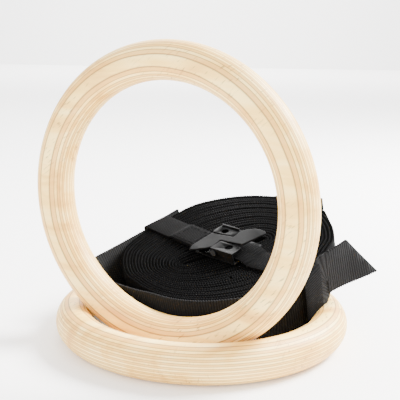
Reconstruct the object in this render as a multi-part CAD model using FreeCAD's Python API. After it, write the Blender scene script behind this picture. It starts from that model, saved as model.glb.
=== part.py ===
import FreeCAD, Part
import math
import os

os.makedirs("parts", exist_ok=True)

V = FreeCAD.Vector

# Everything is in millimetres. The floor is z = 0 and the origin is under the middle of the lying ring.

# Wooden rings
RING_OD = 236.0
RING_TUBE_D = 29.0
TUBE_R = RING_TUBE_D / 2
CENTRE_R = RING_OD / 2 - TUBE_R

# The standing ring is nearly upright, turned about Z, with its foot inside the lying ring
STAND_CENTRE = V(-26.35, -49.08, 118.29)
STAND_YAW = -28.17
STAND_TILT = -1.0

# Rolled straps: the roll leans on the lying ring, and its top face is a tilted plane
ROLL_TOP_CENTRE = V(21.1, 36.6, 66.9)
ROLL_FALL_X = 0.179
ROLL_FALL_Y = 0.2484
ROLL_R = 92.0
INNER_ROLL_R = 60.0
WEB_WIDTH = 38.0
WEB_T = 2.0
ROLL_RELIEF = 0.5

# The narrow strap that belts the roll, and its side stretches
BELT_WIDTH = 26.0
BELT_T = 1.6
BELT_BACK_ANGLE = 137.0
BELT_FRONT_ANGLE = -50.0
BELT_REST = 0.4
BELT_BEND_R = 1.8
BELT_OVERHANG = 2.6
BELT_INSET = 1.5

# The strap's sewn end, counted from the buckle's mouth, and its stitches
MOUTH_X = -25.0
SEWN_LENGTH = 34.0
STITCH_LENGTH = 2.4
STITCH_T = 0.5
STITCH_PITCH = 4.0

# Cam buckle, in its own frame: X along the strap, Y across it, Z up off the roll
BUCKLE_A_AT = (0.3, -18.0)
BUCKLE_A_TURN = -46.2
BUCKLE_B_ANGLE = 43.0
BUCKLE_B_R = 94.3
STEEL_T = 1.5
BASE_BOTTOM = 2.1
BASE_HALF_LENGTH = 22.0
WALL_OUT_Y = 17.3
FLANGE_BOTTOM = 10.4
SLOT_X = (-17.0, -12.0)
SLOT_HALF_Y = 14.6
PIN_Z = 7.9
PIN_R = 1.5
PIN_HOLE_GAP = 0.05
PIN_HEAD_R = 2.6
PIN_HEAD_T = 0.9
CAM_R = 2.2
CAM_HALF_Y = 12.0
SPRING_WIRE = 0.6
LEVER_Z = 11.0
LEVER_RISE_X = 0.10
LEVER_RISE_Y = 0.12
LEVER_NECK_Y = 3.6
LEVER_CORNER_R = 2.5
FLANGE_HOLE_R = 3.4
NOTCH_Z = 6.4
LIP_RISE = 1.4
LIP_LENGTH = 19.0

CLEAR = 0.3


def save(name, shape):
    shape.exportStep("parts/" + name + ".step")
    box = shape.BoundBox
    print("%-20s solids %d  valid %s  x %.1f..%.1f  y %.1f..%.1f  z %.1f..%.1f" % (
        name, len(shape.Solids), shape.isValid(),
        box.XMin, box.XMax, box.YMin, box.YMax, box.ZMin, box.ZMax))


# Frames of reference

def roll_axes():
    up = V(-ROLL_FALL_X, -ROLL_FALL_Y, 1).normalize()
    right = V(0, 1, 0).cross(up).normalize()
    back = up.cross(right)
    return right, back, up


def roll_frame():
    right, back, up = roll_axes()
    return FreeCAD.Placement(ROLL_TOP_CENTRE, FreeCAD.Rotation(right, back, up, "ZXY"))


def buckle_a_plan():
    turn = FreeCAD.Rotation(V(0, 0, 1), BUCKLE_A_TURN)
    return FreeCAD.Placement(V(BUCKLE_A_AT[0], BUCKLE_A_AT[1], 0), turn)


def buckle_a_frame():
    return roll_frame().multiply(buckle_a_plan())


def buckle_b_frame():
    # lies against the roll's side, with its strap along the roll and its top facing outwards
    angle = math.radians(BUCKLE_B_ANGLE)
    out = V(math.cos(angle), math.sin(angle), 0)
    along = V(math.sin(angle), -math.cos(angle), 0)
    face = FreeCAD.Rotation(along, out.cross(along), out, "ZXY")
    foot = out * BUCKLE_B_R + V(0, 0, -WEB_WIDTH / 2)
    return roll_frame().multiply(FreeCAD.Placement(foot, face))


def placed(shape, frame):
    copy = shape.copy()
    copy.Placement = frame.multiply(copy.Placement)
    return copy


def polar(radius, degrees, height=0.0):
    angle = math.radians(degrees)
    return V(radius * math.cos(angle), radius * math.sin(angle), height)


# Wooden rings

def ring(centre, axis):
    return Part.makeTorus(CENTRE_R, TUBE_R, centre, axis)


def lying_ring():
    return ring(V(0, 0, TUBE_R), V(0, 0, 1))


def standing_ring():
    yaw = math.radians(STAND_YAW)
    tilt = math.radians(STAND_TILT)
    axis = V(math.sin(yaw) * math.cos(tilt), -math.cos(yaw) * math.cos(tilt), math.sin(tilt))
    return ring(STAND_CENTRE, axis)


# Webbing

def strip(path, across, width, thick):
    # a flat strap whose centre line is path and whose width lies along across
    sections = []
    last = len(path) - 1
    for i, point in enumerate(path):
        ahead = (path[min(i + 1, last)] - path[max(i - 1, 0)]).normalize()
        wide = across[i] if isinstance(across, list) else across
        wide = (wide - ahead * wide.dot(ahead)).normalize() * (width / 2)
        thin = ahead.cross(wide).normalize() * (thick / 2)
        corners = [point + wide + thin, point - wide + thin, point - wide - thin, point + wide - thin]
        sections.append(Part.makePolygon(corners + [corners[0]]))
    return Part.makeLoft(sections, True, True)


def relieved(shape):
    # the soft roll gives way where it rests on the lying ring
    tube = Part.makeTorus(CENTRE_R, TUBE_R + ROLL_RELIEF, V(0, 0, TUBE_R), V(0, 0, 1))
    cut = shape.cut(tube)
    return max(cut.Solids, key=lambda solid: solid.Volume)


def disc(radius):
    return Part.makeCylinder(radius, WEB_WIDTH, V(0, 0, -WEB_WIDTH))


def inner_roll():
    return relieved(placed(disc(INNER_ROLL_R), roll_frame()))


def last_turn_room(start, end):
    # the last turn is a node of its own, so the roll is cut back behind it
    room = Part.makeCylinder(ROLL_R + 1, WEB_WIDTH, V(0, 0, -WEB_WIDTH), V(0, 0, 1), end - start)
    room = room.cut(disc(ROLL_R - WEB_T - CLEAR))
    room.rotate(V(0, 0, 0), V(0, 0, 1), start)
    return room


def outer_roll():
    front = last_turn_room(FRONT_TURN_START - FRONT_TURN_MARGIN, FRONT_TURN_END + FRONT_TURN_MARGIN)
    back = last_turn_room(LOOSE_TURN_LEAVES[0], LOOSE_TURN_LEAVES[1])
    body = disc(ROLL_R).cut(disc(INNER_ROLL_R + CLEAR)).cut(front).cut(back)
    return relieved(placed(body, roll_frame()))


# Top edge of the outermost turn, as x, y, height above the roll's top face. It springs away from the
# roll at the left, comes back to it at the front, and leaves it again as the free tail.
LOOSE_TURN = [
    (-54.0, 73.2, -1.5), (-61.0, 67.5, -3.0), (-67.5, 62.0, -4.0),
    (-74.5, 55.0, -4.0), (-82.0, 46.5, -3.5), (-90.6, 35.5, -1.0),
    (-101.5, 16.0, 4.5), (-109.5, -2.0, 9.5), (-111.0, -17.0, 11.5), (-104.5, -31.5, 9.5),
    (-92.0, -44.5, 5.5), (-78.5, -54.5, 2.0), (-65.0, -64.0, 0.0),
]
FRONT_TURN_START = 226.6
FRONT_TURN_END = 318.5
FRONT_TURN_STEPS = 24
FRONT_TURN_MARGIN = 14.0
LOOSE_TURN_LEAVES = (122.0, 146.0)
TAIL_HEADING = 33.0
TAIL_RISE = 6.5
TAIL_TOP_LENGTH = 32.0
TAIL_BOTTOM_LENGTH = 56.0
JOIN_GAP = 0.6


def on_edge(points):
    path = [V(x, y, h - WEB_WIDTH / 2) for x, y, h in points]
    return placed(strip(path, V(0, 0, 1), WEB_WIDTH, WEB_T), roll_frame())


def outer_turn_r():
    return ROLL_R - WEB_T / 2


def loose_turn():
    return relieved(on_edge(LOOSE_TURN))


def front_turn_points():
    points = []
    for step in range(FRONT_TURN_STEPS + 1):
        angle = FRONT_TURN_START + step / FRONT_TURN_STEPS * (FRONT_TURN_END - FRONT_TURN_START)
        points.append(polar(outer_turn_r(), angle))
    return points


def front_turn():
    return relieved(on_edge([(p.x, p.y, p.z) for p in front_turn_points()]))


def free_tail():
    # a flat length of the same strap, cut at a slant so that it threads a buckle easily
    ahead = polar(1, TAIL_HEADING)
    side = polar(1, TAIL_HEADING + 90) * (WEB_T / 2)
    start = front_turn_points()[-1] + ahead * JOIN_GAP
    low = start + V(0, 0, -WEB_WIDTH)
    rise = V(0, 0, TAIL_RISE)
    face = Part.Face(Part.makePolygon([
        start - side, start + ahead * TAIL_TOP_LENGTH / 3 + rise - side,
        start + ahead * TAIL_TOP_LENGTH + rise - side, low + ahead * TAIL_BOTTOM_LENGTH + rise - side,
        low + ahead * TAIL_TOP_LENGTH / 3 + rise - side, low - side, start - side]))
    return relieved(placed(face.extrude(side * 2), roll_frame()))


# The belt: the inner strap's buckle end, over the top of the roll, and its free end round the front.
# Its points are in the buckle's frame.

def belt_level():
    return BELT_REST + BELT_T / 2


def upper_level():
    return BASE_BOTTOM + STEEL_T + CLEAR / 2 + BELT_T / 2


def rim_point(angle):
    return buckle_a_plan().inverse().multVec(polar(ROLL_R, angle))


def over_rim(angle, toward, drop):
    # over the rim and down the side of the roll, in one bend
    rim = rim_point(angle)
    out = (rim - toward)
    out.z = 0
    out.normalize()
    top = belt_level()
    points = [rim - out * BELT_INSET + V(0, 0, top)]
    for lean in (0, 22.5, 45, 67.5, 90):
        rad = math.radians(lean)
        points.append(rim + out * (BELT_OVERHANG - BELT_BEND_R * (1 - math.sin(rad)))
                      + V(0, 0, top - BELT_BEND_R * (1 - math.cos(rad))))
    points.append(rim + out * BELT_OVERHANG + V(0, 0, -drop))
    return points, V(0, 0, 1).cross(out)


def belt_back_line(distance, level):
    # a point on the way from the buckle's mouth to the back rim
    mouth = V(MOUTH_X, 0, 0)
    way = (rim_point(BELT_BACK_ANGLE) - mouth).normalize()
    return mouth + way * distance + V(0, 0, level)


def side_line(distance, level):
    # the same for the second buckle, where the strap follows the roll's side
    turn = (distance - MOUTH_X) / BUCKLE_B_R
    radius = BUCKLE_B_R + level
    return V(-radius * math.sin(turn), 0, radius * math.cos(turn) - BUCKLE_B_R)


def back_length():
    return (rim_point(BELT_BACK_ANGLE) - V(MOUTH_X, 0, 0)).Length - BELT_INSET - JOIN_GAP


def belt_top():
    doubled = belt_level() + BELT_T + CLEAR / 2
    points = [V(MOUTH_X - JOIN_GAP, 0, upper_level()), V(MOUTH_X - 2 * JOIN_GAP, 0, upper_level())]
    for distance, level in ((6, doubled), (SEWN_LENGTH + 1, doubled), (SEWN_LENGTH + 9, belt_level()),
                            (back_length(), belt_level())):
        points.append(belt_back_line(distance, level))
    return placed(strip(points, V(0, 1, 0), BELT_WIDTH, BELT_T), buckle_a_frame())


def belt_back():
    points, across = over_rim(BELT_BACK_ANGLE, V(MOUTH_X, 0, 0), WEB_WIDTH - 10.0)
    return relieved(placed(strip(points, across, BELT_WIDTH, BELT_T), buckle_a_frame()))


def belt_front():
    start = V(-9.0, 0, upper_level())
    edge = V(BASE_HALF_LENGTH + 2.0, 0, upper_level())
    landing = V(BASE_HALF_LENGTH + 12.0, 0, belt_level())
    rim = rim_point(BELT_FRONT_ANGLE)
    out = (rim - V(landing.x, 0, 0)).normalize()
    end = rim - out * (BELT_INSET + JOIN_GAP) + V(0, 0, belt_level())
    points = [start, edge, landing, end]
    return placed(strip(points, V(0, 1, 0), BELT_WIDTH, BELT_T), buckle_a_frame())


def belt_band():
    points, across = over_rim(BELT_FRONT_ANGLE, V(BASE_HALF_LENGTH + 12.0, 0, 0), WEB_WIDTH)
    return relieved(placed(strip(points, across, BELT_WIDTH, BELT_T), buckle_a_frame()))


def sewn_loop(line, frame):
    # the strap's end goes down through the slot and back under the bar
    low = line(0, belt_level()).z
    slot = SLOT_X[0] + CLEAR + BELT_T / 2
    points = [V(MOUTH_X, 0, upper_level()), V(slot, 0, upper_level())]
    over = strip(points, V(0, 1, 0), BELT_WIDTH, BELT_T)
    down = Part.makeBox(BELT_T, BELT_WIDTH, upper_level() - low + BELT_T,
                        V(slot, -BELT_WIDTH / 2, low - BELT_T / 2))
    back = [V(slot, 0, low), V(MOUTH_X, 0, low)]
    for step in (0.25, 0.5, 0.75, 1.0):
        back.append(line(SEWN_LENGTH * step, belt_level()))
    under = strip(back, V(0, 1, 0), BELT_WIDTH, BELT_T)
    return placed(over.fuse([down, under]).removeSplitter(), frame)


def second_strap():
    # the second buckle's strap, coming round the back of the roll
    doubled = belt_level() + BELT_T + CLEAR / 2
    points = [V(MOUTH_X - JOIN_GAP, 0, upper_level())]
    for distance in (6.0, 12.0, 18.0, 24.0, 30.0, SEWN_LENGTH + 1.0):
        points.append(side_line(distance, doubled))
    for distance in (SEWN_LENGTH + 8.0, SEWN_LENGTH + 16.0, SEWN_LENGTH + 24.0):
        points.append(side_line(distance, belt_level()))
    return placed(strip(points, V(0, 1, 0), BELT_WIDTH, BELT_T), buckle_b_frame())


def stitch(line, distance, y, along):
    level = belt_level() + BELT_T * 1.5 + CLEAR
    here = line(distance, level)
    way = line(distance + 1, level) - here
    lean = FreeCAD.Rotation(way, V(0, 1, 0), V(0, 0, 1), "XZY")
    length, width = (STITCH_LENGTH, STITCH_T) if along else (STITCH_T, STITCH_LENGTH)
    dash = Part.makeBox(length, width, STITCH_T, V(-length / 2, y - width / 2, 0))
    dash.Placement = FreeCAD.Placement(here, lean)
    return dash


def stitching(line, frame):
    # a box of single stitches
    first = 8.0
    last = SEWN_LENGTH - 3.0
    half = BELT_WIDTH / 2 - 3.5
    dashes = []
    steps = int((last - first) / STITCH_PITCH)
    for i in range(steps + 1):
        distance = first + i * (last - first) / steps
        dashes.append(stitch(line, distance, -half, True))
        dashes.append(stitch(line, distance, half, True))
    across = int(2 * half / STITCH_PITCH)
    for i in range(1, across):
        y = -half + i * 2 * half / across
        dashes.append(stitch(line, first, y, False))
        dashes.append(stitch(line, last, y, False))
    return placed(Part.makeCompound(dashes), frame)


# Cam buckle

def half_turn(shape):
    copy = shape.copy()
    copy.rotate(V(0, 0, 0), V(0, 0, 1), 180)
    return copy


def flange_side():
    # one side of the frame: an upright cheek with a flat flange turned in from its top edge
    cheek = Part.makeBox(29.0, STEEL_T, FLANGE_BOTTOM + STEEL_T - BASE_BOTTOM,
                         V(-8.0, -WALL_OUT_Y, BASE_BOTTOM))
    notch = Part.makeBox(5.0, STEEL_T, FLANGE_BOTTOM + STEEL_T - NOTCH_Z, V(-8.0, -WALL_OUT_Y, NOTCH_Z))
    flange = Part.makeBox(24.0, WALL_OUT_Y - 4.4, STEEL_T, V(-3.0, -WALL_OUT_Y, FLANGE_BOTTOM))
    flange = flange.makeFillet(2.0, [e for e in flange.Edges if is_inner_corner(e)])
    hole = Part.makeCylinder(FLANGE_HOLE_R, STEEL_T, V(11.0, -9.6, FLANGE_BOTTOM))
    return cheek.cut(notch).fuse(flange.cut(hole))


def is_inner_corner(edge):
    middle = edge.BoundBox.Center
    upright = edge.BoundBox.ZLength > STEEL_T / 2 and edge.BoundBox.XLength < CLEAR
    return upright and middle.y > -WALL_OUT_Y + 1


def buckle_frame():
    base = Part.makeBox(2 * BASE_HALF_LENGTH, 2 * WALL_OUT_Y, STEEL_T,
                        V(-BASE_HALF_LENGTH, -WALL_OUT_Y, BASE_BOTTOM))
    slot_corner = V(SLOT_X[0], -SLOT_HALF_Y, BASE_BOTTOM)
    slot = Part.makeBox(SLOT_X[1] - SLOT_X[0], 2 * SLOT_HALF_Y, STEEL_T, slot_corner)
    side = flange_side()
    lip_corner = V(-BASE_HALF_LENGTH + 2, WALL_OUT_Y - STEEL_T, FLANGE_BOTTOM + STEEL_T)
    lip = Part.makeBox(LIP_LENGTH, STEEL_T, LIP_RISE, lip_corner)
    frame = base.cut(slot).fuse([side, half_turn(side), lip]).removeSplitter()
    hole = Part.makeCylinder(PIN_R + PIN_HOLE_GAP, 4 * WALL_OUT_Y, V(0, -2 * WALL_OUT_Y, PIN_Z), V(0, 1, 0))
    return frame.cut(hole)


def lever_outline():
    neck = LEVER_NECK_Y
    half = [(-20.5, neck), (-27.5, -15.0), (-26.5, -20.5), (-17.0, -20.5)]
    half += [(-7.6, -16.0), (-4.4, -12.5), (-4.4, -neck)]
    return half + [(-x, -y) for x, y in half]


def lever_plate():
    corners = [V(x, y, 0) for x, y in lever_outline()]
    plate = Part.Face(Part.makePolygon(corners + [corners[0]])).extrude(V(0, 0, STEEL_T))
    uprights = [e for e in plate.Edges if e.BoundBox.ZLength > STEEL_T / 2 and e.BoundBox.XLength < CLEAR
                and max(abs(e.BoundBox.Center.x), abs(e.BoundBox.Center.y)) > 14]
    plate = plate.makeFillet(LEVER_CORNER_R, uprights)
    lean = FreeCAD.Rotation(V(0, 0, 1), V(-LEVER_RISE_X, -LEVER_RISE_Y, 1))
    plate.Placement = FreeCAD.Placement(V(0, 0, LEVER_Z), lean)
    return plate


def cam_lever():
    cam = Part.makeCylinder(CAM_R, 2 * CAM_HALF_Y, V(0, -CAM_HALF_Y, PIN_Z), V(0, 1, 0))
    neck = Part.makeBox(3.6, 2 * LEVER_NECK_Y - 1, LEVER_Z + 0.8 - PIN_Z, V(-1.8, -LEVER_NECK_Y + 0.5, PIN_Z))
    bore = Part.makeCylinder(PIN_R + PIN_HOLE_GAP, 4 * WALL_OUT_Y, V(0, -2 * WALL_OUT_Y, PIN_Z), V(0, 1, 0))
    return lever_plate().fuse([cam, neck]).cut(bore).removeSplitter()


def pivot_pin():
    reach = WALL_OUT_Y + CLEAR
    pin = Part.makeCylinder(PIN_R, 2 * reach, V(0, -reach, PIN_Z), V(0, 1, 0))
    heads = []
    for y in (-reach - PIN_HEAD_T, reach):
        heads.append(Part.makeCylinder(PIN_HEAD_R, PIN_HEAD_T, V(0, y, PIN_Z), V(0, 1, 0)))
    return pin.fuse(heads).removeSplitter()


def cam_spring():
    # the turns of the torsion spring, on the pin between the cam and one cheek
    start = CAM_HALF_Y + CLEAR
    length = WALL_OUT_Y - STEEL_T - CLEAR - start
    inside = PIN_R + 2 * PIN_HOLE_GAP
    coil = Part.makeCylinder(inside + SPRING_WIRE, length, V(0, start, PIN_Z), V(0, 1, 0))
    bore = Part.makeCylinder(inside, length, V(0, start, PIN_Z), V(0, 1, 0))
    return coil.cut(bore)


def buckle(letter, frame):
    save("buckle_" + letter + "_frame", placed(buckle_frame(), frame))
    save("buckle_" + letter + "_lever", placed(cam_lever(), frame))
    save("buckle_" + letter + "_pin", placed(pivot_pin(), frame))
    save("buckle_" + letter + "_spring", placed(cam_spring(), frame))
    pin = frame.multVec(V(0, 0, PIN_Z))
    axis = frame.Rotation.multVec(V(0, 1, 0))
    where = (letter, pin.x, pin.y, pin.z, axis.x, axis.y, axis.z)
    print("buckle %s pin at %.4f %.4f %.4f  axis %.5f %.5f %.5f" % where)


save("lying_ring", lying_ring())
save("standing_ring", standing_ring())
save("inner_roll", inner_roll())
save("outer_roll", outer_roll())
save("loose_turn", loose_turn())
save("front_turn", front_turn())
save("free_tail", free_tail())
save("belt_top", belt_top())
save("belt_back", belt_back())
save("belt_front", belt_front())
save("belt_band", belt_band())
save("belt_loop", sewn_loop(belt_back_line, buckle_a_frame()))
save("belt_stitching", stitching(belt_back_line, buckle_a_frame()))
buckle("a", buckle_a_frame())
save("second_strap", second_strap())
save("second_loop", sewn_loop(side_line, buckle_b_frame()))
save("second_stitching", stitching(side_line, buckle_b_frame()))
buckle("b", buckle_b_frame())
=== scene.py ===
import bpy
import bmesh
import math
from mathutils import Matrix, Vector, noise


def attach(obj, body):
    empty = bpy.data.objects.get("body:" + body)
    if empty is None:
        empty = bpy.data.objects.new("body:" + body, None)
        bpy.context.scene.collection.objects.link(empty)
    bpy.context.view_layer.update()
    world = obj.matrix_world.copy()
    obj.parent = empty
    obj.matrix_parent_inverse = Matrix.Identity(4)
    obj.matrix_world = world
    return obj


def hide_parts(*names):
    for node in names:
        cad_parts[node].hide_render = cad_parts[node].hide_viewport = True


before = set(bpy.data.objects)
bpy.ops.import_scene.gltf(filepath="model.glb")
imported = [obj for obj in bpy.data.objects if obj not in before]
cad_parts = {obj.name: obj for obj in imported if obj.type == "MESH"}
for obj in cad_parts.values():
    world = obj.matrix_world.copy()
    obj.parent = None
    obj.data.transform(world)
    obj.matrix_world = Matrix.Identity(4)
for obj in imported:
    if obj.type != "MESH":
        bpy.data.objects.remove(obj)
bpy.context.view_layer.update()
print("stage: frame loaded,", len(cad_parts), "CAD nodes")

mm = 0.001

# Camera

camera = {"place": (-2.74, -627.04, 237.35), "tiltUp": 78.53, "roll": 0.90, "lens": 72.0}


def addCamera():
    bpy.ops.object.camera_add()
    cam = bpy.context.object
    cam.name = "studioCamera"
    cam.data.sensor_width = 36
    cam.data.lens = camera["lens"]
    cam.data.clip_start = 0.05
    tilt = Matrix.Rotation(math.radians(camera["tiltUp"]), 4, "X")
    lean = Matrix.Rotation(math.radians(camera["roll"]), 4, "Z")
    cam.matrix_world = Matrix.Translation(Vector(camera["place"]) * mm) @ (tilt @ lean)
    bpy.context.scene.camera = cam


addCamera()

# Small helpers

def deselect():
    if bpy.context.object and bpy.context.object.mode != "OBJECT":
        bpy.ops.object.mode_set(mode="OBJECT")
    bpy.ops.object.select_all(action="DESELECT")


def pickOnly(piece):
    deselect()
    piece.select_set(True)
    bpy.context.view_layer.objects.active = piece


def srgb(code):
    # hex as painted on screen, to the linear colour a shader wants
    parts = [int(code[i:i + 2], 16) / 255 for i in (1, 3, 5)]
    linear = [c / 12.92 if c <= 0.04045 else ((c + 0.055) / 1.055) ** 2.4 for c in parts]
    return (*linear, 1)


def addNode(tree, kind, settings=None, links=None):
    node = tree.nodes.new(kind)
    for key, value in (settings or {}).items():
        if isinstance(key, int) or key in node.inputs:
            node.inputs[key].default_value = value
        else:
            setattr(node, key, value)
    for key, socket in (links or {}).items():
        tree.links.new(socket, node.inputs[key])
    return node


def newMaterial(name):
    material = bpy.data.materials.new(name)
    material.use_nodes = True
    tree = material.node_tree
    shader = tree.nodes["Principled BSDF"]
    return material, tree, shader


def giveMaterial(piece, material):
    piece.data.materials.clear()
    piece.data.materials.append(material)


def smooth(piece, angle=35):
    pickOnly(piece)
    bpy.ops.object.shade_smooth_by_angle(angle=math.radians(angle))


def finishPiece(piece, body, nodes, material):
    giveMaterial(piece, material)
    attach(piece, body)
    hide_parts(*nodes)


# Materials

def ramp(tree, source, stops):
    node = addNode(tree, "ShaderNodeValToRGB", links={0: source})
    while len(node.color_ramp.elements) < len(stops):
        node.color_ramp.elements.new(0.5)
    for element, (place, colour) in zip(node.color_ramp.elements, stops):
        element.position = place
        element.color = colour
    return node


black = (0, 0, 0, 1)
white = (1, 1, 1, 1)

plywood = {
    "pale": "#fddc88", "cream": "#f5c968", "tan": "#cc9038", "fleck": "#5c3416", "glue": "#4c260b",
    "ply": 1.45,        # a birch veneer is 1.4 to 1.5 mm thick
}


def birchPlywood(name, centre, turn):
    # birch plywood, turned and sanded, with a thin clear oil: cream wood, fine ply lines on the
    # sides of the tube, and the face veneer's long brown flecks where the tube is flat
    material, tree, shader = newMaterial(name)
    coord = addNode(tree, "ShaderNodeTexCoord")
    local = addNode(tree, "ShaderNodeMapping",
                    {"vector_type": "TEXTURE", "Location": centre, "Rotation": turn},
                    {0: coord.outputs["Object"]})
    split = addNode(tree, "ShaderNodeSeparateXYZ", links={0: local.outputs[0]})
    # the plies wander a little, as pressed veneers do
    drift = addNode(tree, "ShaderNodeTexNoise", {"Scale": 14.0, "Detail": 2.0}, {0: local.outputs[0]})
    driftBy = addNode(tree, "ShaderNodeMath", {"operation": "MULTIPLY_ADD", 1: 0.0009, 2: 0.000275},
                      {0: drift.outputs[0]})
    height = addNode(tree, "ShaderNodeMath", {"operation": "ADD"},
                     {0: split.outputs[2], 1: driftBy.outputs[0]})
    plies = addNode(tree, "ShaderNodeMath", {"operation": "DIVIDE", 1: plywood["ply"] * mm},
                    {0: height.outputs[0]})
    place = addNode(tree, "ShaderNodeMath", {"operation": "FRACT"}, {0: plies.outputs[0]})
    number = addNode(tree, "ShaderNodeMath", {"operation": "FLOOR"}, {0: plies.outputs[0]})
    odd = addNode(tree, "ShaderNodeMath", {"operation": "PINGPONG", 1: 1.0}, {0: number.outputs[0]})
    # grain runs along X in one veneer and along Y in the next
    longX = addNode(tree, "ShaderNodeMapping", {"Scale": (12.0, 330.0, 330.0)}, {0: local.outputs[0]})
    longY = addNode(tree, "ShaderNodeMapping", {"Scale": (330.0, 12.0, 330.0)}, {0: local.outputs[0]})
    grain = addNode(tree, "ShaderNodeMix", {"data_type": "VECTOR"},
                    {0: odd.outputs[0], 4: longX.outputs[0], 5: longY.outputs[0]})
    streak = addNode(tree, "ShaderNodeTexNoise", {"Scale": 1.0, "Detail": 4.0, "Roughness": 0.6},
                     {0: grain.outputs[1]})
    figureX = addNode(tree, "ShaderNodeMapping", {"Scale": (10.0, 60.0, 60.0)}, {0: local.outputs[0]})
    figure = addNode(tree, "ShaderNodeTexNoise", {"Scale": 1.0, "Detail": 3.0, "Distortion": 0.6},
                     {0: figureX.outputs[0]})
    patch = addNode(tree, "ShaderNodeTexNoise", {"Scale": 9.0, "Detail": 1.0}, {0: local.outputs[0]})
    tone = ramp(tree, figure.outputs[0], [(0.25, srgb(plywood["tan"])), (0.45, srgb(plywood["cream"])),
                                          (0.60, srgb(plywood["pale"]))])
    # short pith flecks, 9 mm by 1.6 mm, slanting across the face veneer
    slant = addNode(tree, "ShaderNodeMapping",
                    {"vector_type": "TEXTURE", "Rotation": (0, 0, 0.7), "Scale": (0.009, 0.0016, 0.005)},
                    {0: local.outputs[0]})
    tick = addNode(tree, "ShaderNodeTexNoise", {"Scale": 1.0, "Detail": 2.0}, {0: slant.outputs[0]})
    fleckMask = ramp(tree, tick.outputs[0], [(0.60, black), (0.68, white)])
    patchMask = ramp(tree, patch.outputs[0], [(0.44, black), (0.60, white)])
    flecks = addNode(tree, "ShaderNodeMath", {"operation": "MULTIPLY"},
                     {0: fleckMask.outputs[0], 1: patchMask.outputs[0]})
    fleckShare = addNode(tree, "ShaderNodeMath", {"operation": "MULTIPLY", 1: 0.6}, {0: flecks.outputs[0]})
    flecked = addNode(tree, "ShaderNodeMix", {"data_type": "RGBA", 7: srgb(plywood["fleck"])},
                      {0: fleckShare.outputs[0], 6: tone.outputs[0]})
    line = ramp(tree, place.outputs[0], [(0.0, white), (0.20, black), (0.86, black), (1.0, white)])
    lineShare = addNode(tree, "ShaderNodeMath", {"operation": "MULTIPLY", 1: 0.95}, {0: line.outputs[0]})
    glued = addNode(tree, "ShaderNodeMix", {"data_type": "RGBA", 7: srgb(plywood["glue"])},
                    {0: lineShare.outputs[0], 6: flecked.outputs[2]})
    # end grain of the crossed plies is a shade darker
    crossShare = addNode(tree, "ShaderNodeMath", {"operation": "MULTIPLY", 1: 0.6}, {0: odd.outputs[0]})
    crossed = addNode(tree, "ShaderNodeMix", {"data_type": "RGBA", 7: srgb(plywood["tan"])},
                      {0: crossShare.outputs[0], 6: glued.outputs[2]})
    tree.links.new(crossed.outputs[2], shader.inputs["Base Color"])
    rough = addNode(tree, "ShaderNodeMapRange", {3: 0.42, 4: 0.58}, {0: streak.outputs[0]})
    tree.links.new(rough.outputs[0], shader.inputs["Roughness"])
    relief = addNode(tree, "ShaderNodeMath", {"operation": "MULTIPLY_ADD", 1: -0.5},
                     {0: line.outputs[0], 2: streak.outputs[0]})
    bump = addNode(tree, "ShaderNodeBump", {"Strength": 0.12, "Distance": 0.0004},
                   {"Height": relief.outputs[0]})
    tree.links.new(bump.outputs[0], shader.inputs["Normal"])
    shader.inputs["IOR"].default_value = 1.5
    return material


webbing = {
    # the darkest colour is painted shade between the ribs, the lightest a painted highlight on the rib tops
    "gap": "#010101", "yarn": "#060606", "yarnTopHighlight": "#111112",
    "rib": 2.1,         # mm between the ribs across the strap, drawn coarse enough to show
    "warp": 1.3,        # mm between the warp yarns, also coarse
}


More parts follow.
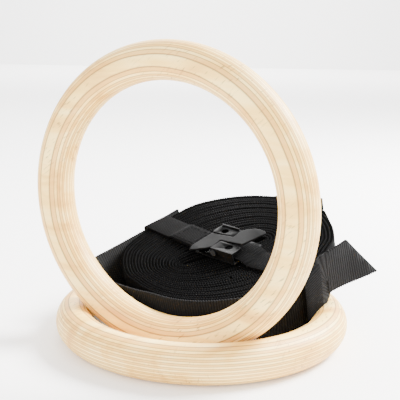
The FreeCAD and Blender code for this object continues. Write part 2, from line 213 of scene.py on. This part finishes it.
def wovenNylon(name, light=1.0, shine=0.10):
    # black polyamide webbing, woven with a rib: each rib is a row of round yarns with a painted grey
    # highlight along its top, and painted black shade in the gaps between them
    material, tree, shader = newMaterial(name)
    coord = addNode(tree, "ShaderNodeTexCoord")
    split = addNode(tree, "ShaderNodeSeparateXYZ", links={0: coord.outputs["UV"]})
    # UV is in metres: u along the strap, v across it
    wobble = addNode(tree, "ShaderNodeTexNoise", {"Scale": 260.0, "Detail": 2.0},
                     {0: coord.outputs["Object"]})
    push = addNode(tree, "ShaderNodeMath", {"operation": "MULTIPLY_ADD", 1: 0.0007, 2: -0.00035},
                   {0: wobble.outputs[0]})
    along = addNode(tree, "ShaderNodeMath", {"operation": "ADD"}, {0: split.outputs[0], 1: push.outputs[0]})
    ribPhase = addNode(tree, "ShaderNodeMath", {"operation": "MULTIPLY", 1: math.pi / (webbing["rib"] * mm)},
                       {0: along.outputs[0]})
    ribWave = addNode(tree, "ShaderNodeMath", {"operation": "SINE"}, {0: ribPhase.outputs[0]})
    rib = addNode(tree, "ShaderNodeMath", {"operation": "ABSOLUTE"}, {0: ribWave.outputs[0]})
    warpTurn = math.pi / (webbing["warp"] * mm)
    warpPhase = addNode(tree, "ShaderNodeMath", {"operation": "MULTIPLY", 1: warpTurn},
                        {0: split.outputs[1]})
    warpWave = addNode(tree, "ShaderNodeMath", {"operation": "SINE"}, {0: warpPhase.outputs[0]})
    warp = addNode(tree, "ShaderNodeMath", {"operation": "ABSOLUTE"}, {0: warpWave.outputs[0]})
    ribPart = addNode(tree, "ShaderNodeMath", {"operation": "MULTIPLY", 1: 0.72}, {0: rib.outputs[0]})
    weave = addNode(tree, "ShaderNodeMath", {"operation": "MULTIPLY_ADD", 1: 0.28},
                    {0: warp.outputs[0], 2: ribPart.outputs[0]})
    # painted shade in the gaps and a painted highlight on the rib tops, following the weave pattern
    tone = ramp(tree, weave.outputs[0], [(0.15, srgb(webbing["gap"])), (0.5, srgb(webbing["yarn"])),
                                         (0.95, srgb(webbing["yarnTopHighlight"]))])
    fuzz = addNode(tree, "ShaderNodeTexNoise", {"Scale": 1400.0, "Detail": 2.0}, {0: coord.outputs["Object"]})
    # light scales the base colour: painted light or painted shade for the lit and shaded copies of this
    # webbing
    fuzzTone = addNode(tree, "ShaderNodeMapRange", {3: 0.7 * light, 4: 1.3 * light}, {0: fuzz.outputs[0]})
    colour = addNode(tree, "ShaderNodeVectorMath", {"operation": "SCALE"},
                     {0: tone.outputs[0], "Scale": fuzzTone.outputs[0]})
    tree.links.new(colour.outputs[0], shader.inputs["Base Color"])
    heights = addNode(tree, "ShaderNodeMath", {"operation": "MULTIPLY_ADD", 1: 0.25},
                      {0: fuzz.outputs[0], 2: weave.outputs[0]})
    bump = addNode(tree, "ShaderNodeBump", {"Strength": 0.9, "Distance": 0.0005},
                   {"Height": heights.outputs[0]})
    tree.links.new(bump.outputs[0], shader.inputs["Normal"])
    shader.inputs["Roughness"].default_value = 0.85
    shader.inputs["Specular IOR Level"].default_value = shine
    shader.inputs["IOR"].default_value = 1.53
    shader.inputs["Sheen Weight"].default_value = 0.015 * light
    shader.inputs["Sheen Roughness"].default_value = 0.4
    return material




def bondedThread(name):
    # bonded polyester thread: the same black, a touch shinier where each stitch rounds over
    material, tree, shader = newMaterial(name)
    coord = addNode(tree, "ShaderNodeTexCoord")
    twist = addNode(tree, "ShaderNodeTexNoise", {"Scale": 2200.0, "Detail": 2.0},
                    {0: coord.outputs["Object"]})
    tone = ramp(tree, twist.outputs[0], [(0.3, srgb("#010101")), (0.7, srgb("#030303"))])
    tree.links.new(tone.outputs[0], shader.inputs["Base Color"])
    bump = addNode(tree, "ShaderNodeBump", {"Strength": 0.5, "Distance": 0.0002},
                   {"Height": twist.outputs[0]})
    tree.links.new(bump.outputs[0], shader.inputs["Normal"])
    shader.inputs["Roughness"].default_value = 0.5
    shader.inputs["Specular IOR Level"].default_value = 0.03
    return material


# one webbing in lit and shaded copies: the wound roll painted darker as painted shade, the last turn with its
# tail painted lighter as painted light where it faces the key lamp
shadedRollNylon = wovenNylon("wovenNylonWoundPaintedShade", 0.32, 0.03)
litStrapNylon = wovenNylon("wovenNylonWebbingPaintedLight", 1.35, 0.09)
threadMaterial = bondedThread("bondedPolyesterThread")
print("stage: materials")

# The lean of the roll, with the same numbers as its CAD: its top face is a tilted plane

roll = {
    "topCentre": (21.1, 36.6, 66.9), "fall": (0.179, 0.2484), "radius": 92.0, "web": 38.0, "thick": 1.95,
    "coreFrom": (-38.0, -27.0), "coreTo": (30.0, -4.0), "turns": 20.0, "firstTurn": 0.5, "innerTurns": 11.6,
    "bunch": 2.3, "bunchDepth": 0.36, "step": 1.05, "edgeDots": 0.42, "edgeWander": 0.55,
}

rollUp = Vector((-roll["fall"][0], -roll["fall"][1], 1)).normalized()
rollRight = Vector((0, 1, 0)).cross(rollUp).normalized()
rollBack = rollUp.cross(rollRight)
rollMatrix = Matrix((
    (rollRight.x, rollBack.x, rollUp.x, roll["topCentre"][0]),
    (rollRight.y, rollBack.y, rollUp.y, roll["topCentre"][1]),
    (rollRight.z, rollBack.z, rollUp.z, roll["topCentre"][2]),
    (0, 0, 0, 1)))

ringTube = 14.5
ringCentreR = 103.5


def clearOfRing(point, gap=0.35):
    # slides a point of the strap up the roll until it is off the lying ring
    for _ in range(40):
        across = math.hypot(math.hypot(point.x, point.y) - ringCentreR, point.z - ringTube)
        if across >= ringTube + gap:
            break
        point = point + rollUp * 0.12
    return point


def resample(points, step):
    out = [points[0].copy()]
    left = step
    for a, b in zip(points, points[1:]):
        run = (b - a).length
        if run < 1e-9:
            continue
        at = left
        while at <= run:
            out.append(a.lerp(b, at / run))
            at += step
        left = at - run
    return out


def makeRibbon(name, path, across, width, thick, dots=0.0, lift=None, fixRing=False, plump=None):
    # a woven strap along a path: path and across in millimetres, across being the strap's width direction
    half, t = width / 2, thick / 2
    lips = [(-t, -half + 0.7), (-t, -half * 0.35), (-t, half * 0.35), (-t, half - 0.7),
            (-t * 0.55, half - 0.12),
            (0, half), (t * 0.55, half - 0.12), (t, half - 0.7), (t, half * 0.35), (t, -half * 0.35),
            (t, -half + 0.7), (t * 0.55, -half + 0.12), (0, -half), (-t * 0.55, -half + 0.12)]
    builder = bmesh.new()
    uvLayer = builder.loops.layers.uv.new("weave")
    rings, lengths = [], []
    travelled = 0.0
    for i, centre in enumerate(path):
        ahead = (path[min(i + 1, len(path) - 1)] - path[max(i - 1, 0)]).normalized()
        wide = across[i] if isinstance(across, list) else across
        wide = (wide - ahead * wide.dot(ahead)).normalized()
        thin = ahead.cross(wide).normalized()
        if i:
            travelled += (centre - path[i - 1]).length
        rise = lift(i) if lift else 0.0
        row = []
        for offset, v in lips:
            edge = abs(v) > half - 0.5
            extra = dots * (1 if i % 2 else -1) * (1 if v > 0 else -1) if edge else 0.0
            puff = 1 + (0.12 if i % 2 else -0.12) if edge and dots else 1
            point = centre + wide * (v + rise + extra) + thin * (offset * puff * (plump[i] if plump else 1))
            if fixRing and v < 0:
                point = clearOfRing(point)
            row.append(builder.verts.new(point * mm))
        rings.append(row)
        lengths.append(travelled * mm)
    count = len(lips)
    for i in range(len(rings) - 1):
        for j in range(count):
            k = (j + 1) % count
            face = builder.faces.new((rings[i][j], rings[i + 1][j], rings[i + 1][k], rings[i][k]))
            va, vb = lips[j][1] * mm, lips[k][1] * mm
            near, far = lengths[i], lengths[i + 1]
            for loop, uv in zip(face.loops, ((near, va), (far, va), (far, vb), (near, vb))):
                loop[uvLayer].uv = uv
    for row, flip in ((rings[0], False), (rings[-1], True)):
        face = builder.faces.new(row if flip else list(reversed(row)))
        for loop in face.loops:
            loop[uvLayer].uv = (0, 0)
    bmesh.ops.recalc_face_normals(builder, faces=builder.faces)
    mesh = bpy.data.meshes.new(name)
    builder.to_mesh(mesh)
    builder.free()
    piece = bpy.data.objects.new(name, mesh)
    bpy.context.scene.collection.objects.link(piece)
    smooth(piece, 50)
    return piece, travelled


def corePoint(angle):
    # the point of the flat core that faces this way, eased at its two ends
    a, b = Vector(roll["coreFrom"]), Vector(roll["coreTo"])
    facing = Vector((math.cos(angle), math.sin(angle))).dot((b - a).normalized())
    return a.lerp(b, 0.5 + 0.5 * math.tanh(2.2 * facing) / math.tanh(2.2))


def rollEdge(angle):
    # where the last turn lies against the roll, the turns behind it stop a strap's thickness short,
    # and where the belt pulls over the back rim they are pressed in
    edge = roll["radius"] - roll["thick"] / 2
    for middle, spread, dip, fade in ((272, 62, 2.3, 12), (137, 6, 8.0, 30)):
        away = abs((math.degrees(angle) - middle + 180) % 360 - 180)
        share = min(1, max(0, 1 - (away - spread) / fade))
        edge -= dip * share * share * (3 - 2 * share)
    return edge


def turnPoint(turn):
    # a point of the wound strap; turn counts windings from the core
    angle = -turn * 2 * math.pi + math.radians(134)
    reach = rollEdge(angle)
    facing = Vector((math.cos(angle), math.sin(angle)))
    core = corePoint(angle)
    pitch = (reach - core.dot(facing)) / roll["turns"]
    loose = min(1, max(0, (pitch - 2.5) / 2.4))
    wave = roll["bunchDepth"] * loose * roll["bunch"] / (2 * math.pi)
    near = turn + wave * math.sin(2 * math.pi * turn / roll["bunch"])
    fade = min(1, (roll["turns"] - turn) / 1.5)
    share = (turn + (near - turn) * fade) / roll["turns"]
    flat = core * (1 - share) + facing * reach * share
    return flat


def windRoll(name, first, last, seed):
    flat = []
    count = int((last - first) * 260)
    for i in range(count + 1):
        point = turnPoint(first + (last - first) * i / count)
        flat.append(Vector((point.x, point.y, 0)))
    flat = resample(flat, roll["step"])
    path, plump, lifts = [], [], []
    for i, point in enumerate(flat):
        # where the turns lie slack the webbing is drawn thicker than it is, so less shows through
        facing = Vector((point.x, point.y)).normalized()
        slack = (roll["radius"] - corePoint(math.atan2(facing.y, facing.x)).dot(facing)) / roll["turns"]
        plump.append(min(2.2, max(1.0, 0.86 * slack / roll["thick"])))
        wander = noise.noise(Vector((point.x * 0.018, point.y * 0.018, seed + i * 0.0031)))
        lifts.append(wander * roll["edgeWander"])
        path.append(rollMatrix @ (point + Vector((0, 0, -roll["web"] / 2))))
    return makeRibbon(name, path, rollUp, roll["web"] - 0.4, roll["thick"], roll["edgeDots"],
                      lambda i: lifts[i], True, plump)


def makeRoll():
    inner, innerLength = windRoll("innerStrapWound", roll["firstTurn"], roll["innerTurns"], 3.0)
    outer, outerLength = windRoll("outerStrapWound", roll["innerTurns"] + 0.004, roll["turns"], 7.0)
    finishPiece(inner, "strap_roll", ["inner_roll"], shadedRollNylon)
    finishPiece(outer, "strap_roll", ["outer_roll"], shadedRollNylon)
    print("stage: roll, lengths in mm", round(innerLength), round(outerLength))


makeRoll()

# The outer strap's last turn, loose at the left, tight at the front, with its free end at the right

lastTurn = {
    # top edge, and how far the bottom edge lies inside it, in the roll's own axes
    "loose": [(-42.0, 79.5, 0, 0), (-48.5, 73.5, 0, 0), (-55.5, 66.0, 0, 0), (-62.3, 57.8, 0, 0),
              (-69.5, 49.6, -0.2, 2), (-79.0, 41.2, 0, 6), (-90.4, 31.2, 0, 11), (-103.2, 19.0, 0.5, 15),
              (-114.4, 8.0, 1.2, 18), (-119.5, -5.0, 2.0, 18), (-115.5, -19.0, 2.0, 16),
              (-104.5, -33.0, 2.0, 13), (-91.0, -46.0, 1.5, 8), (-77.0, -56.5, 0.5, 3),
              (-64.5, -64.6, 0.0, 0)],
    "front": (230.0, 314.0, 4.0), "frontR": 91.0,
    "tail": [(71.0, -58.5, 5.2, 0.8), (78.0, -53.6, 6.6, 0.6), (86.5, -47.5, 7.0, -1), (94.6, -40.9, 7.0, -4),
             (106.0, -33.5, 7.0, -7), (118.0, -26.5, 7.0, -8)],
    "cutTop": (94.6, -40.9, 7.0), "cutLow": (118.0, -33.1, -31.0), "thick": 1.9,
    "slip": 5.5,
}


def smoothCurve(points, perSpan=24):
    # Catmull-Rom through the points
    out = []
    for i in range(len(points) - 1):
        p0, p1 = points[max(i - 1, 0)], points[i]
        p2, p3 = points[i + 1], points[min(i + 2, len(points) - 1)]
        for k in range(perSpan):
            t = k / perSpan
            out.append([0.5 * (2 * b + (c - a) * t + (2 * a - 5 * b + 4 * c - d) * t * t
                               + (3 * b - a - 3 * c + d) * t ** 3) for a, b, c, d in zip(p0, p1, p2, p3)])
    out.append(list(points[-1]))
    return out


def makeLastTurn():
    keys = list(lastTurn["loose"])
    start, end, step = lastTurn["front"]
    for k in range(int((end - start) / step) + 1):
        angle = math.radians(start + k * step)
        # the wrap slips down the roll towards its free end
        slip = min(1, max(0, (start + k * step - 268) / 26))
        drop = -lastTurn["slip"] * slip * slip * (3 - 2 * slip)
        keys.append((lastTurn["frontR"] * math.cos(angle), lastTurn["frontR"] * math.sin(angle), drop, 0.0))
    keys += lastTurn["tail"]
    dense = smoothCurve(keys, 20)
    tops = resample([Vector(p[:3]) for p in dense], roll["step"])
    # carry the lean along by nearest share of the curve's length
    total = [0.0]
    for a, b in zip(dense, dense[1:]):
        total.append(total[-1] + (Vector(b[:3]) - Vector(a[:3])).length)
    path, across = [], []
    k = 0
    for i, top in enumerate(tops):
        at = i * roll["step"]
        while k < len(total) - 2 and total[k + 1] < at:
            k += 1
        lean = dense[k][3]
        ahead = tops[min(i + 1, len(tops) - 1)] - tops[max(i - 1, 0)]
        inward = Vector((0, 0, 1)).cross(ahead).normalized()
        fall = math.sqrt(max(1, roll["web"] ** 2 - lean ** 2))
        bottom = top + inward * lean - Vector((0, 0, fall))
        path.append(rollMatrix @ ((top + bottom) / 2))
        across.append((rollMatrix.to_3x3() @ (top - bottom)).normalized())
    strap, length = makeRibbon("lastTurnOfStrap", path, across, roll["web"], lastTurn["thick"],
                               roll["edgeDots"], None, True)
    cutTail(strap)
    finishPiece(strap, "strap_roll", ["loose_turn", "front_turn", "free_tail"], litStrapNylon)
    print("stage: last turn, length in mm", round(length))


def cutTail(strap):
    # the slanting cut, hot-knife style, across the free end
    top = rollMatrix @ Vector(lastTurn["cutTop"])
    low = rollMatrix @ Vector(lastTurn["cutLow"])
    depth = (low - top).normalized()
    outward = rollMatrix.to_3x3() @ Vector((math.cos(math.radians(-58)), math.sin(math.radians(-58)), 0))
    normal = depth.cross(outward).normalized()
    if normal.dot(Vector((1, 0, 0))) < 0:
        normal = -normal
    pickOnly(strap)
    bpy.ops.object.mode_set(mode="EDIT")
    bpy.ops.mesh.select_all(action="SELECT")
    bpy.ops.mesh.bisect(plane_co=top * mm, plane_no=normal, use_fill=True,
                        clear_outer=True, clear_inner=False)
    bpy.ops.object.mode_set(mode="OBJECT")


makeLastTurn()

# The first strap's buckle end, belting the roll

buckle = {
    "at": (0.3, -18.0), "turn": -46.2, "secondAngle": 43.0, "secondR": 94.3,
    "mouth": -25.0, "slot": -15.9, "half": 22.0,
}
belt = {
    "width": 26.0, "thick": 1.6, "low": 1.2, "doubled": 2.95, "top": 4.55, "sewn": 34.0,
    "backAngle": 137.0, "backRim": 85.0, "frontAngle": -50.0, "frontRim": 92.0, "overhang": 2.3, "step": 0.8,
}

buckleShift = Matrix.Translation((buckle["at"][0], buckle["at"][1], 0))
buckleMatrixA = rollMatrix @ buckleShift @ Matrix.Rotation(math.radians(buckle["turn"]), 4, "Z")


def secondBuckleMatrix():
    angle = math.radians(buckle["secondAngle"])
    out = Vector((math.cos(angle), math.sin(angle), 0))
    along = Vector((math.sin(angle), -math.cos(angle), 0))
    side = out.cross(along)
    foot = out * buckle["secondR"] - Vector((0, 0, roll["web"] / 2))
    return rollMatrix @ Matrix(((along.x, side.x, out.x, foot.x), (along.y, side.y, out.y, foot.y),
                                (along.z, side.z, out.z, foot.z), (0, 0, 0, 1)))


buckleMatrixB = secondBuckleMatrix()


def rimPoint(angle, radius):
    place = Vector((radius * math.cos(math.radians(angle)), radius * math.sin(math.radians(angle)), 0))
    return buckleMatrixA.inverted() @ (rollMatrix @ place)


def beltPiece(name, keys, matrix, crossings, nodes):
    dense = smoothCurve(keys, 16)
    flat = resample([Vector(p[:3]) for p in dense], belt["step"])
    path = [matrix @ p for p in flat]
    across = []
    for i, p in enumerate(flat):
        across.append((matrix.to_3x3() @ crossings(p)).normalized())
    strap, length = makeRibbon(name, path, across, belt["width"], belt["thick"] * 0.96, 0.12, None, True)
    finishPiece(strap, "strap_roll", nodes, shadedBeltNylon)


def overRim(rim, out, drop, tuck=0.0):
    hang, low = belt["overhang"], belt["low"]
    points = [rim - out * 9 + Vector((0, 0, low)), rim - out * 2.2 + Vector((0, 0, low)),
              rim + out * (hang - 1.7) + Vector((0, 0, low - 0.3)),
              rim + out * (hang - 0.2) + Vector((0, 0, -1.0)),
              rim + out * hang + Vector((0, 0, -6.0))]
    for share in (0.4, 0.7, 1.0):
        level = Vector((0, 0, -6 - (drop - 6) * share))
        points.append(rim + out * (hang - tuck * max(0, share - 0.4)) + level)
    return points


def foldThroughSlot(line):
    low = line(0, belt["low"]).z - 0.1
    slot, mouth = buckle["slot"], buckle["mouth"]
    top = belt["top"]
    points = [Vector((mouth - 1, 0, top)), Vector((slot - 2.5, 0, top)), Vector((slot - 0.2, 0, top - 0.5)),
              Vector((slot + 0.5, 0, (top + low) / 2)), Vector((slot - 0.2, 0, low + 0.5)),
              Vector((slot - 2.5, 0, low)), Vector((mouth, 0, low))]
    for share in (0.3, 0.65, 1.0):
        points.append(line(belt["sewn"] * share, belt["low"] - 0.1))
    return points


def makeBelt():
    mouth = Vector((buckle["mouth"], 0, 0))
    rim = rimPoint(belt["backAngle"], belt["backRim"])
    out = (rim - mouth).normalized()

    def line(distance, level):
        return mouth + out * distance + Vector((0, 0, level))

    keys = list(reversed(overRim(rim, out, 28.0)))
    keys += [line(belt["sewn"] + 7, belt["low"] + 0.1), line(belt["sewn"] + 1, belt["doubled"] - 0.2),
             line(belt["sewn"] - 6, belt["doubled"]), line(14, belt["doubled"]),
             line(6, belt["doubled"] + 0.1)]
    keys += foldThroughSlot(line)
    squareBack = Vector((0, 0, 1)).cross(out) * -1
    beltPiece("beltBackAndLoop", keys, buckleMatrixA,
              lambda p: Vector((0, 1, 0)).lerp(squareBack, min(1, max(0, (mouth.x - p.x) / 14))),
              ["belt_back", "belt_top", "belt_loop"])
    # the free end, out from under the cam and down the front
    rimF = rimPoint(belt["frontAngle"], belt["frontRim"])
    landing = Vector((buckle["half"] + 13, 0, 0))
    outF = (rimF - landing).normalized()
    keysF = [Vector((-9, 0, belt["top"])), Vector((4, 0, belt["top"])),
             Vector((buckle["half"], 0, belt["top"])),
             Vector((buckle["half"] + 6, 0, 2.9)), landing + Vector((0, 0, belt["low"]))]
    keysF += overRim(rimF, outF, 41.0, 2.0)
    squareFront = Vector((0, 0, 1)).cross(outF)
    beltPiece("beltFrontAndBand", keysF, buckleMatrixA,
              lambda p: Vector((0, 1, 0)).lerp(squareFront, min(1, max(0, (p.x - landing.x) / 14))),
              ["belt_front", "belt_band"])
    print("stage: belt")


def makeSecondLoop():
    def line(distance, level):
        turn = (distance - buckle["mouth"]) / buckle["secondR"]
        reach = buckle["secondR"] + level
        return Vector((-reach * math.sin(turn), 0, reach * math.cos(turn) - buckle["secondR"]))

    keys = [line(58, belt["low"]), line(50, belt["low"]), line(43, belt["low"] + 0.1),
            line(36, belt["doubled"] - 0.2), line(28, belt["doubled"]), line(20, belt["doubled"]),
            line(12, belt["doubled"]), line(6, belt["doubled"] + 0.1)]
    keys += foldThroughSlot(line)
    beltPiece("secondStrapLoop", keys, buckleMatrixB, lambda p: Vector((0, 1, 0)),
              ["second_strap", "second_loop"])
    print("stage: second loop")


def bentSteel(name):
    # folded sheet steel under a thin black electro-coat: dark charcoal, semi-matt, with an even film, and a
    # painted grey highlight along each bent edge
    material, tree, shader = newMaterial(name)
    coord = addNode(tree, "ShaderNodeTexCoord")
    speckle = addNode(tree, "ShaderNodeTexNoise", {"Scale": 900.0, "Detail": 3.0},
                      {0: coord.outputs["Object"]})
    smear = addNode(tree, "ShaderNodeTexNoise", {"Scale": 70.0, "Detail": 2.0}, {0: coord.outputs["Object"]})
    tone = ramp(tree, smear.outputs[0], [(0.3, srgb("#010101")), (0.7, srgb("#030303"))])
    edge = addNode(tree, "ShaderNodeNewGeometry")
    # painted highlight: a lighter grey painted on the convex bent edges, where they catch the light
    edgeHighlight = ramp(tree, edge.outputs["Pointiness"], [(0.53, black), (0.62, white)])
    edgeHighlightShare = addNode(tree, "ShaderNodeMath", {"operation": "MULTIPLY", 1: 0.8}, {0: edgeHighlight.outputs[0]})
    colour = addNode(tree, "ShaderNodeMix", {"data_type": "RGBA", 7: srgb("#2c2c2d")},
                     {0: edgeHighlightShare.outputs[0], 6: tone.outputs[0]})
    tree.links.new(colour.outputs[2], shader.inputs["Base Color"])
    rough = addNode(tree, "ShaderNodeMapRange", {3: 0.34, 4: 0.5}, {0: speckle.outputs[0]})
    tree.links.new(rough.outputs[0], shader.inputs["Roughness"])
    bump = addNode(tree, "ShaderNodeBump", {"Strength": 0.15, "Distance": 0.0001},
                   {"Height": speckle.outputs[0]})
    tree.links.new(bump.outputs[0], shader.inputs["Normal"])
    shader.inputs["Specular IOR Level"].default_value = 0.03
    return material


steelMaterial = bentSteel("blackCoatedSteel")


def softenedCopy(node, name, body, width, segments=2):
    # the stamped part with the small rounds that stamping and coating leave on its edges
    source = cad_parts[node]
    mesh = source.data.copy()
    piece = bpy.data.objects.new(name, mesh)
    bpy.context.scene.collection.objects.link(piece)
    pickOnly(piece)
    bpy.ops.object.mode_set(mode="EDIT")
    bpy.ops.mesh.select_all(action="SELECT")
    bpy.ops.mesh.remove_doubles(threshold=0.000005)
    bpy.ops.mesh.dissolve_limited(angle_limit=math.radians(3))
    bpy.ops.object.mode_set(mode="OBJECT")
    bevel = piece.modifiers.new("edges", "BEVEL")
    bevel.width = width * mm
    bevel.segments = segments
    bevel.limit_method = "ANGLE"
    bevel.angle_limit = math.radians(40)
    bevel.harden_normals = True
    bpy.ops.object.modifier_apply(modifier="edges")
    smooth(piece, 40)
    finishPiece(piece, body, [node], steelMaterial)
    return piece


lever = {
    # the plate seen from above, one half; the other half is the same turned about
    "outline": [(-20.5, 3.6), (-27.5, -15.0), (-26.5, -20.5), (-17.0, -20.5),
                (-7.6, -16.0), (-4.4, -12.5), (-4.4, -3.6)],
    "round": [1.2, 3.5, 2.6, 3.0, 2.5, 1.0, 0.8],
    "thick": 1.5, "height": 11.0, "rise": (0.10, 0.12), "tipCurl": 1.6,
    "pin": 7.9, "cam": 2.2, "camHalf": 12.0, "bore": 1.55,
}


def leverPlate():
    # rounded outline, then pulled up to a plate
    corners = lever["outline"] + [(-x, -y) for x, y in lever["outline"]]
    radii = lever["round"] * 2
    outline = []
    for i, corner in enumerate(corners):
        here = Vector(corner)
        back, on = Vector(corners[i - 1]) - here, Vector(corners[(i + 1) % len(corners)]) - here
        reach = min(radii[i], back.length * 0.45, on.length * 0.45)
        a, b = here + back.normalized() * reach, here + on.normalized() * reach
        for k in range(5):
            t = k / 4
            outline.append((1 - t) ** 2 * a + 2 * t * (1 - t) * here + t * t * b)
    bpy.ops.mesh.primitive_circle_add(vertices=len(outline), radius=1, fill_type="NGON")
    plate = bpy.context.object
    for vertex, place in zip(plate.data.vertices, outline):
        vertex.co = (place.x, place.y, 0)
    bpy.ops.object.mode_set(mode="EDIT")
    bpy.ops.mesh.select_all(action="SELECT")
    bpy.ops.mesh.inset(thickness=1.3)
    bpy.ops.mesh.select_all(action="SELECT")
    bpy.ops.mesh.quads_convert_to_tris()
    bpy.ops.mesh.extrude_region_move(TRANSFORM_OT_translate={"value": (0, 0, lever["thick"])})
    bpy.ops.mesh.select_all(action="SELECT")
    bpy.ops.mesh.normals_make_consistent(inside=False)
    bpy.ops.object.mode_set(mode="OBJECT")
    bpy.ops.object.transform_apply(location=True, rotation=True, scale=True)
    for vertex in plate.data.vertices:
        x, y, z = vertex.co
        curl = max(0, math.hypot(x, y) - 24) / 8
        rise = lever["rise"][0] * x + lever["rise"][1] * y
        vertex.co.z = z + lever["height"] + rise - lever["tipCurl"] * curl
    return plate


def camDrum():
    # a thick tube about the pin, along Y
    bpy.ops.mesh.primitive_cylinder_add(vertices=32, radius=lever["cam"], depth=2 * lever["camHalf"],
                                        location=(0, 0, lever["pin"]), rotation=(math.pi / 2, 0, 0),
                                        end_fill_type="NGON")
    drum = bpy.context.object
    bpy.ops.object.transform_apply(location=True, rotation=True, scale=True)
    bpy.ops.object.mode_set(mode="EDIT")
    bpy.ops.mesh.select_all(action="DESELECT")
    mesh = bmesh.from_edit_mesh(drum.data)
    for face in mesh.faces:
        face.select_set(abs(face.normal.y) > 0.9)
    bmesh.update_edit_mesh(drum.data)
    bpy.ops.mesh.inset(thickness=lever["cam"] - lever["bore"])
    bpy.ops.mesh.bridge_edge_loops()
    bpy.ops.object.mode_set(mode="OBJECT")
    return drum


def leverNeck():
    middle = (lever["pin"] + lever["cam"] + lever["height"]) / 2 + 0.2
    bpy.ops.mesh.primitive_cube_add(size=1, location=(0, 0, middle))
    neck = bpy.context.object
    neck.scale = (3.4, 6.0, lever["height"] - lever["pin"] - lever["cam"] + 1.2)
    bpy.ops.object.transform_apply(location=True, rotation=True, scale=True)
    bpy.ops.object.mode_set(mode="EDIT")
    bpy.ops.mesh.bevel(offset=0.5, segments=2, affect="EDGES")
    bpy.ops.object.mode_set(mode="OBJECT")
    return neck


def makeLever(name, matrix, body, node):
    deselect()
    plate = leverPlate()
    edges = plate.modifiers.new("edges", "BEVEL")
    edges.width = 0.45
    edges.segments = 3
    edges.limit_method = "ANGLE"
    edges.angle_limit = math.radians(50)
    pickOnly(plate)
    bpy.ops.object.modifier_apply(modifier="edges")
    deselect()
    drum = camDrum()
    deselect()
    neck = leverNeck()
    deselect()
    for part in (drum, neck, plate):
        part.select_set(True)
    bpy.context.view_layer.objects.active = plate
    bpy.ops.object.join()
    plate.name = name
    plate.data.transform(Matrix.Scale(mm, 4) @ matrix)
    smooth(plate, 40)
    finishPiece(plate, body, [node], steelMaterial)


def makeBuckles():
    for letter, body, matrix in (("a", "lever_a", buckleMatrixA), ("b", "lever_b", buckleMatrixB)):
        softenedCopy("buckle_" + letter + "_frame", "buckleFrame" + letter.upper(), "strap_roll",
                     0.35)
        makeLever("camLever" + letter.upper(), matrix, body, "buckle_" + letter + "_lever")
        for part in ("pin", "spring"):
            giveMaterial(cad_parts["buckle_" + letter + "_" + part], steelMaterial)
    print("stage: buckles")


# the belt and the second loop: the same webbing painted darker, as painted shade
shadedBeltNylon = wovenNylon("wovenNylonBeltPaintedShade", 0.42, 0.03)
makeBelt()
makeSecondLoop()
makeBuckles()
for node in ("belt_stitching", "second_stitching"):
    giveMaterial(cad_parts[node], threadMaterial)

rings = {
    # where each ring's centre is, in metres, and how its plies are turned
    "lying_ring": ("turnedBirchPlyLying", (0, 0, 0.0145), (0, 0, 0.5)),
    "standing_ring": ("turnedBirchPlyStanding", (-0.02635, -0.04908, 0.11829),
                      (math.radians(91.0), 0, math.radians(-28.17))),
}
for node, (name, centre, turn) in rings.items():
    giveMaterial(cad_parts[node], birchPlywood(name, centre, turn))

# Floor and light

studio = {
    "floor": "#f6f5f4", "glow": 0.15, "air": "#fafafb", "airPower": 2.6, "backdropPower": 3.2,
    "lamps": [
        ("keyWindow", (1.15, 0.45, 1.15), (0, 0, 0.06), 0.7, 200),
        ("backWindow", (-0.5, 1.6, 1.5), (0, 0, 0.06), 1.2, 24),
        ("fillCard", (-1.0, -1.6, 0.9), (0, 0, 0.06), 1.6, 34),
        ("farWash", (0, 4.8, 2.6), (0, 5.2, 0), 3.0, 330),
    ],
}


def addStudio():
    deselect()
    bpy.ops.mesh.primitive_plane_add(size=12, location=(0, 0, 0))
    floor = bpy.context.object
    floor.name = "studioFloor"
    bpy.ops.object.mode_set(mode="EDIT")
    bpy.ops.mesh.select_all(action="DESELECT")
    mesh = bmesh.from_edit_mesh(floor.data)
    for edge in mesh.edges:
        edge.select_set(all(v.co.y > 5.9 for v in edge.verts))
    bmesh.update_edit_mesh(floor.data)
    bpy.ops.mesh.extrude_region_move(TRANSFORM_OT_translate={"value": (0, 0.3, 7)})
    mesh = bmesh.from_edit_mesh(floor.data)
    for edge in mesh.edges:
        edge.select_set(all(v.co.y > 5.9 and v.co.z < 0.1 for v in edge.verts))
    bmesh.update_edit_mesh(floor.data)
    bpy.ops.mesh.bevel(offset=3.0, segments=24, affect="EDGES")
    bpy.ops.object.mode_set(mode="OBJECT")
    bpy.ops.object.transform_apply(location=True, rotation=True, scale=True)
    smooth(floor, 60)
    material, tree, shader = newMaterial("mattPaper")
    shader.inputs["Base Color"].default_value = srgb(studio["floor"])
    shader.inputs["Roughness"].default_value = 0.85
    shader.inputs["Specular IOR Level"].default_value = 0.15
    shader.inputs["Emission Color"].default_value = srgb(studio["floor"])
    shader.inputs["Emission Strength"].default_value = studio["glow"]
    giveMaterial(floor, material)
    world = bpy.data.worlds.new("studioAir")
    world.use_nodes = True
    world.node_tree.nodes["Background"].inputs[0].default_value = srgb(studio["air"])
    # the lit paper backdrop far behind is brighter to look at than the light it gives
    tree = world.node_tree
    seen = addNode(tree, "ShaderNodeLightPath")
    power = addNode(tree, "ShaderNodeMix", {2: studio["airPower"], 3: studio["backdropPower"]},
                    {0: seen.outputs["Is Camera Ray"]})
    tree.links.new(power.outputs[0], tree.nodes["Background"].inputs[1])
    bpy.context.scene.world = world
    for name, place, aim, size, power in studio["lamps"]:
        bpy.ops.object.light_add(type="AREA", location=place)
        lamp = bpy.context.object
        lamp.name = name
        lamp.data.size = size
        lamp.data.energy = power
        lamp.rotation_euler = (Vector(aim) - Vector(place)).to_track_quat("-Z", "Y").to_euler()


addStudio()
print("stage: studio")
